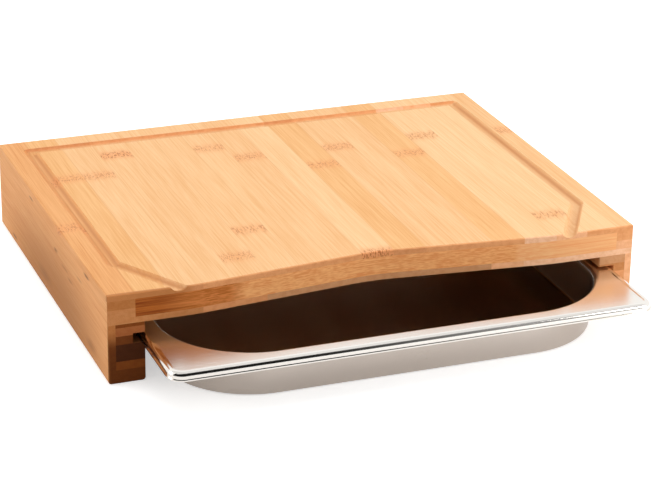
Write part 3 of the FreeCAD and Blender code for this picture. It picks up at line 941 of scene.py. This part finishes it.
@dataclass
class Core:
    """The two crosswise layers between the plies, closed by strips at the sides."""

    sheet_seed: float = 41.0
    edge_seed: float = 51.0
    contrast: float = 1.4
    # The core pales from left to right, partly by the wood's own tone and partly as painted shade
    # on the left of the front.
    stretches: tuple[Stretch, ...] = (
        Stretch(-136.0, BambooTone.RUST, flecks=0.8, run_in=30.0),
        Stretch(-94.0, BambooTone.COPPER, flecks=2.6, run_in=14.0),
        Stretch(97.0, BambooTone.APRICOT, flecks=0.6, run_in=4.0),
    )
    # The left edges' darker ends are partly the wood's own tone and partly painted shade.
    edge_ends: tuple[tuple[str, str, EndTone], ...] = (
        ("lower", "left", EndTone.TOFFEE),
        ("lower", "right", EndTone.PEACH),
        ("upper", "left", EndTone.CHESTNUT),
        ("upper", "right", EndTone.APRICOT),
    )

    def dress(self, nodes: Nodes, grain: bpy.types.NodeTree) -> None:
        """Dress the sheets and the edge strips.

        Args:
            nodes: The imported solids, by name.
            grain: The shared grain group.
        """
        for index, level in enumerate(("lower", "upper")):
            sheet = StripFinish(
                tone=BambooTone.UMBER,
                end=EndTone.CARAMEL,
                seed=self.sheet_seed + index,
                contrast=self.contrast,
                crosswise=True,
                stretches=self.stretches,
            )
            dress(nodes, f"core_{level}_sheet", sheet.make(f"bamboo core {level}", grain))
        for index, (level, side, end) in enumerate(self.edge_ends):
            name = f"core_{level}_{side}_edge"
            left, right, lower, upper = sides(name)
            edge = StripFinish(
                tone=BambooTone.TAWNY,
                end=end,
                seed=self.edge_seed + index,
                joints=(right if side == "left" else left, FAR_AWAY, lower, upper),
                marks=LEFT_SIDE_SHADE_AND_SCARS if side == "left" else (),
            )
            dress(nodes, name, edge.make(f"bamboo core {level} {side}", grain))


@dataclass
class Leg:
    """One side leg: an upright outer strip and flat layers stacked inside it.

    The ends are those of the layers, from the table up.
    """

    side: str
    seed: float
    tone: BambooTone
    outer_end: EndTone
    foot_shade_end: EndTone
    ends: tuple[EndTone, ...]

    def dress(self, nodes: Nodes, grain: bpy.types.NodeTree) -> None:
        """Dress the outer strip and the layers.

        Args:
            nodes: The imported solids, by name.
            grain: The shared grain group.
        """
        name = f"{self.side}_leg_outer_strip"
        left, right, _, upper = sides(name)
        inner_joint = right if self.side == "left" else left
        outer = StripFinish(
            tone=BambooTone.TAWNY,
            end=self.outer_end,
            seed=self.seed,
            joints=(inner_joint, FAR_AWAY, FAR_AWAY, upper),
            foot_shade_end=self.foot_shade_end,
            marks=LEFT_SIDE_SHADE_AND_SCARS if self.side == "left" else (),
        )
        dress(nodes, name, outer.make(f"bamboo {self.side} outer", grain))
        for number, end in enumerate(self.ends, start=1):
            name = f"{self.side}_leg_layer_{number}"
            _, _, lower, upper = sides(name)
            layer = StripFinish(
                tone=self.tone,
                end=end,
                seed=self.seed + number,
                joints=(inner_joint, FAR_AWAY, lower, upper),
            )
            dress(nodes, name, layer.make(f"bamboo {self.side} {number}", grain))


@dataclass
class DripTray:
    """The pressed steel tray."""

    name: str = "drip_tray"
    rim_corner: float = 10.0
    finish: SteelFinish = SteelFinish()

    def dress(self, nodes: Nodes) -> None:
        """Dress the tray in steel."""
        rim = RimPlan.around(self.name, self.rim_corner)
        dress(nodes, self.name, self.finish.make("drawn steel", rim))


def lay_sheet(
    name: str, corners: list[Vector], material: bpy.types.Material
) -> bpy.types.Object:
    """Add a flat sheet of the studio, which isn't part of the board.

    Args:
        name: The sheet's name.
        corners: Its four corners, going round.
        material: What it is made of.

    Returns:
        The sheet.
    """
    mesh = bpy.data.meshes.new(name)
    mesh.from_pydata(corners, [], [(0, 1, 2, 3)])
    mesh.materials.append(material)
    sheet = bpy.data.objects.new(name, mesh)
    bpy.context.scene.collection.objects.link(sheet)
    log.info("laid %s", name)
    return sheet


@dataclass(frozen=True)
class SoftBox:
    """One soft lamp of the studio."""

    name: str
    place: Place
    aim: Place
    width: float
    height: float
    power: float
    mirrored: bool

    def build(self) -> bpy.types.Object:
        """Hang the lamp and aim it.

        Returns:
            The lamp.
        """
        light = bpy.data.lights.new(self.name, "AREA")
        light.shape = "RECTANGLE"
        light.size, light.size_y = self.width, self.height
        light.energy = self.power
        lamp = bpy.data.objects.new(self.name, light)
        lamp.location = self.place
        away = Vector(self.aim) - Vector(self.place)
        lamp.rotation_euler = away.to_track_quat("-Z", "Y").to_euler()
        lamp.visible_glossy = self.mirrored
        bpy.context.scene.collection.objects.link(lamp)
        log.info("hung %s", self.name)
        return lamp


@dataclass(frozen=True)
class Flag:
    """A card around the object, dark or grey, which only bright metal shows.

    Its brightness goes from the left level to the right one between two places.
    """

    name: str
    left_foot: Place
    right_foot: Place
    lean: Place
    left_level: float
    right_level: float
    fade_from: float = -1.0
    fade_to: float = 1.0

    def build(self) -> bpy.types.Object:
        """Stand the card up.

        Returns:
            The card.
        """
        material, bench, _ = start_material(self.name)
        across = bench.parts(bench.place("ShaderNodeTexCoord").outputs["Object"])[0]
        level = bench.ramp(
            across, self.fade_from, self.fade_to, self.left_level, self.right_level
        )
        glow = bench.place("ShaderNodeEmission", inputs={"Strength": level})
        bench.finish(glow)
        left, right, lean = Vector(self.left_foot), Vector(self.right_foot), Vector(self.lean)
        card = lay_sheet(self.name, [left, right, right + lean, left + lean], material)
        card.visible_camera = False
        card.visible_diffuse = False
        card.visible_shadow = False
        card.visible_transmission = False
        return card


@dataclass
class Studio:
    """A white floor, a plain bright room, soft lamps, cards and the camera."""

    floor_half: float = 8.0
    floor_seen: Colour = (0.86, 0.86, 0.86, 1.0)
    floor_bounce: Colour = (0.72, 0.71, 0.7, 1.0)
    floor_roughness: float = 0.9
    floor_gloss: float = 0.1
    floor_lift: float = 0.5
    # Painted light: for reflections the floor glows more on the right than on the left.
    floor_glow_left: float = 0.2
    floor_glow_right: float = 0.42
    glow_from: float = -0.1
    glow_to: float = 0.35
    room_light: float = 0.55
    room_colour: Colour = (1.0, 1.0, 1.0, 1.0)
    camera_place: Place = (-0.53607, -1.40995, 0.66133)
    camera_turn: Place = (67.1820, -0.8100, -20.6554)
    camera_lens: float = 132.639
    sensor_width: float = 36.0
    nearest_seen: float = 0.01
    farthest_seen: float = 50.0
    lamps: tuple[SoftBox, ...] = (
        SoftBox(
            name="overhead softbox",
            place=(0.1, 0.3, 1.6),
            aim=(0.0, 0.0, 0.03),
            width=1.5,
            height=1.5,
            power=13.0,
            mirrored=False,
        ),
        SoftBox(
            name="right softbox",
            place=(0.62, -0.6, 0.36),
            aim=(0.12, -0.1, 0.03),
            width=0.4,
            height=0.4,
            power=2.8,
            mirrored=True,
        ),
        SoftBox(
            name="left softbox",
            place=(-1.2, 0.4, 0.4),
            aim=(-0.18, 0.0, 0.03),
            width=0.7,
            height=0.7,
            power=4.2,
            mirrored=True,
        ),
    )
    flags: tuple[Flag, ...] = (
        Flag(
            name="front flag",
            left_foot=(-2.2, -2.4, 0.02),
            right_foot=(3.0, -2.4, 0.02),
            lean=(0.0, 1.9, 3.2),
            left_level=0.012,
            right_level=0.4,
            fade_from=0.58,
            fade_to=1.1,
        ),
        Flag(
            name="left flag",
            left_foot=(-2.2, -0.3, 0.02),
            right_foot=(-2.2, -2.4, 0.02),
            lean=(0.6, 0.0, 2.6),
            left_level=0.02,
            right_level=0.02,
        ),
        Flag(
            name="grey ceiling",
            left_foot=(-1.6, -1.6, 2.2),
            right_foot=(1.6, -1.6, 2.2),
            lean=(0.0, 3.2, 0.0),
            left_level=0.76,
            right_level=0.84,
        ),
    )

    def build(self) -> None:
        """Build the whole studio."""
        self.build_floor()
        self.build_room()
        for flag in self.flags:
            flag.build()
        for lamp in self.lamps:
            lamp.build()
        self.build_camera()

    def build_floor(self) -> bpy.types.Object:
        """Lay the white floor, which looks paler than the light it sends back.

        Returns:
            The floor.
        """
        material, bench, surface = start_material("white floor")
        surface.inputs["Roughness"].default_value = self.floor_roughness
        surface.inputs["Specular IOR Level"].default_value = self.floor_gloss
        path = bench.place("ShaderNodeLightPath").outputs
        colour = bench.blend(path["Is Camera Ray"], self.floor_bounce, self.floor_seen)
        bench.feed(surface.inputs["Base Color"], colour)
        # Painted light: reflected rays see the floor glow, brighter to the right, so the tray's
        # body reads brighter on its right.
        across = bench.parts(bench.place("ShaderNodeTexCoord").outputs["Object"])[0]
        reflected_glow = bench.ramp(
            across, self.glow_from, self.glow_to, self.floor_glow_left, self.floor_glow_right
        )
        lift = bench.calc("MULTIPLY", path["Is Camera Ray"], self.floor_lift)
        for ray in ("Is Glossy Ray", "Is Transmission Ray"):
            lift = bench.calc("MULTIPLY_ADD", path[ray], reflected_glow, lift)
        glow = bench.place("ShaderNodeEmission", inputs={"Strength": lift})
        both = {0: surface.outputs[0], 1: glow.outputs[0]}
        bench.finish(bench.place("ShaderNodeAddShader", inputs=both))
        half = self.floor_half
        plan = ((-half, -half), (half, -half), (half, half), (-half, half))
        return lay_sheet("studio_floor", [Vector((x, y, 0.0)) for x, y in plan], material)

    def build_room(self) -> None:
        """Light the room evenly, with a white wall for the rays that show it."""
        world = bpy.data.worlds.new("plain room")
        world.use_nodes = True
        bpy.context.scene.world = world
        bench = NodeBench(world.node_tree)
        background = world.node_tree.nodes["Background"]
        background.inputs["Color"].default_value = self.room_colour
        path = bench.place("ShaderNodeLightPath").outputs
        seen = bench.calc("MAXIMUM", path["Is Camera Ray"], path["Is Glossy Ray"])
        seen = bench.calc("MAXIMUM", seen, path["Is Transmission Ray"])
        strength = bench.calc("MULTIPLY_ADD", seen, 1.0 - self.room_light, self.room_light)
        bench.feed(background.inputs["Strength"], strength)
        log.info("lit the room")

    def build_camera(self) -> bpy.types.Object:
        """Set up the camera.

        Returns:
            The camera.
        """
        camera = bpy.data.cameras.new("studio camera")
        camera.sensor_fit = "HORIZONTAL"
        camera.sensor_width = self.sensor_width
        camera.lens = self.camera_lens
        camera.clip_start, camera.clip_end = self.nearest_seen, self.farthest_seen
        holder = bpy.data.objects.new("studio camera", camera)
        holder.location = self.camera_place
        holder.rotation_euler = [math.radians(angle) for angle in self.camera_turn]
        bpy.context.scene.collection.objects.link(holder)
        bpy.context.scene.camera = holder
        log.info("placed the camera")
        return holder


def top_ply() -> LamellaPly:
    """Choose the strips of the ply that is cut on.

    Returns:
        The top ply, ready to dress.
    """
    tone, end = BambooTone, EndTone
    return LamellaPly(
        ply="top",
        seed=1.0,
        tones=(
            tone.TAWNY, tone.AMBER, tone.HONEY, tone.HONEY, tone.HONEY, tone.HONEY,
            tone.HONEY, tone.HONEY, tone.STRAW, tone.AMBER, tone.HONEY, tone.HONEY,
            tone.AMBER, tone.STRAW, tone.STRAW, tone.STRAW, tone.HONEY,
        ),
        ends=(
            (end.CARAMEL,) * 3 + (end.APRICOT,) * 6 + (end.CARAMEL,) + (end.APRICOT,) * 3
            + (end.BLUSH, end.PEACH, end.APRICOT, end.APRICOT)
        ),
        knuckles={
            1: (114.0,), 2: (199.0,), 3: (199.0,), 4: (234.0,), 5: (34.0,), 6: (74.0,),
            7: (226.0,), 8: (201.0,), 9: (11.0,), 10: (170.0,), 11: (200.0,), 13: (172.0,),
            14: (202.0,), 15: (35.0,), 17: (195.0,),
        },
        strong_knuckles=(4, 9),
        # Painted shade at the left of the front face.
        marks=(SHADED_FRONT_CORNER,),
    )


def bottom_ply() -> LamellaPly:
    """Choose the strips of the ply over the tray.

    Returns:
        The bottom ply, ready to dress.
    """
    tone, end = BambooTone, EndTone
    return LamellaPly(
        ply="bottom",
        seed=21.0,
        tones=(tone.TAWNY,) + (tone.TAWNY, tone.AMBER) * 8,
        # The ends pale from left to right, partly by the wood's own tone and partly as painted
        # shade on the left; the BLUSH ends on the right are painted light, thrown up from the
        # tray's flange.
        ends=(
            (end.TOFFEE,) * 3 + (end.CARAMEL,) * 2 + (end.SAND,) * 7 + (end.PEACH,)
            + (end.BLUSH,) * 4
        ),
        knuckles={3: (60.0, 240.0), 7: (150.0,), 11: (90.0, 210.0), 15: (170.0,)},
    )


def legs() -> tuple[Leg, Leg]:
    """Choose the strips and layers of both side legs.

    Returns:
        The left leg and the right one, ready to dress.
    """
    end = EndTone
    # The left leg's dark tone and ends, darkest near the table, are partly the wood's own colour
    # and partly painted shade.
    left = Leg(
        side="left",
        seed=61.0,
        tone=BambooTone.PEAT,
        outer_end=end.CHESTNUT,
        foot_shade_end=end.COCOA,
        ends=(
            end.COCOA, end.COCOA, end.WALNUT, end.COFFEE, end.COFFEE, end.COCOA,
            end.RUSSET, end.WALNUT,
        ),
    )
    right = Leg(
        side="right",
        seed=81.0,
        tone=BambooTone.COPPER,
        outer_end=end.PEACH,
        foot_shade_end=end.PEACH,
        ends=(
            end.TOFFEE, end.TOFFEE, end.SAND, end.TOFFEE, end.CARAMEL, end.TOFFEE, end.SAND,
        ),
    )
    return left, right


def main() -> None:
    """Load the frame, dress it and build the studio round it."""
    logging.basicConfig(level=logging.INFO, format="%(name)s: %(message)s")
    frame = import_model()
    nodes = frame["nodes"]
    grain = GrainGroup().build()
    top_ply().dress(nodes, grain)
    bottom_ply().dress(nodes, grain)
    Core().dress(nodes, grain)
    for leg in legs():
        leg.dress(nodes, grain)
    DripTray().dress(nodes)
    Studio().build()
    bpy.context.scene.view_settings.view_transform = "Standard"


if __name__ == "__main__":
    main()
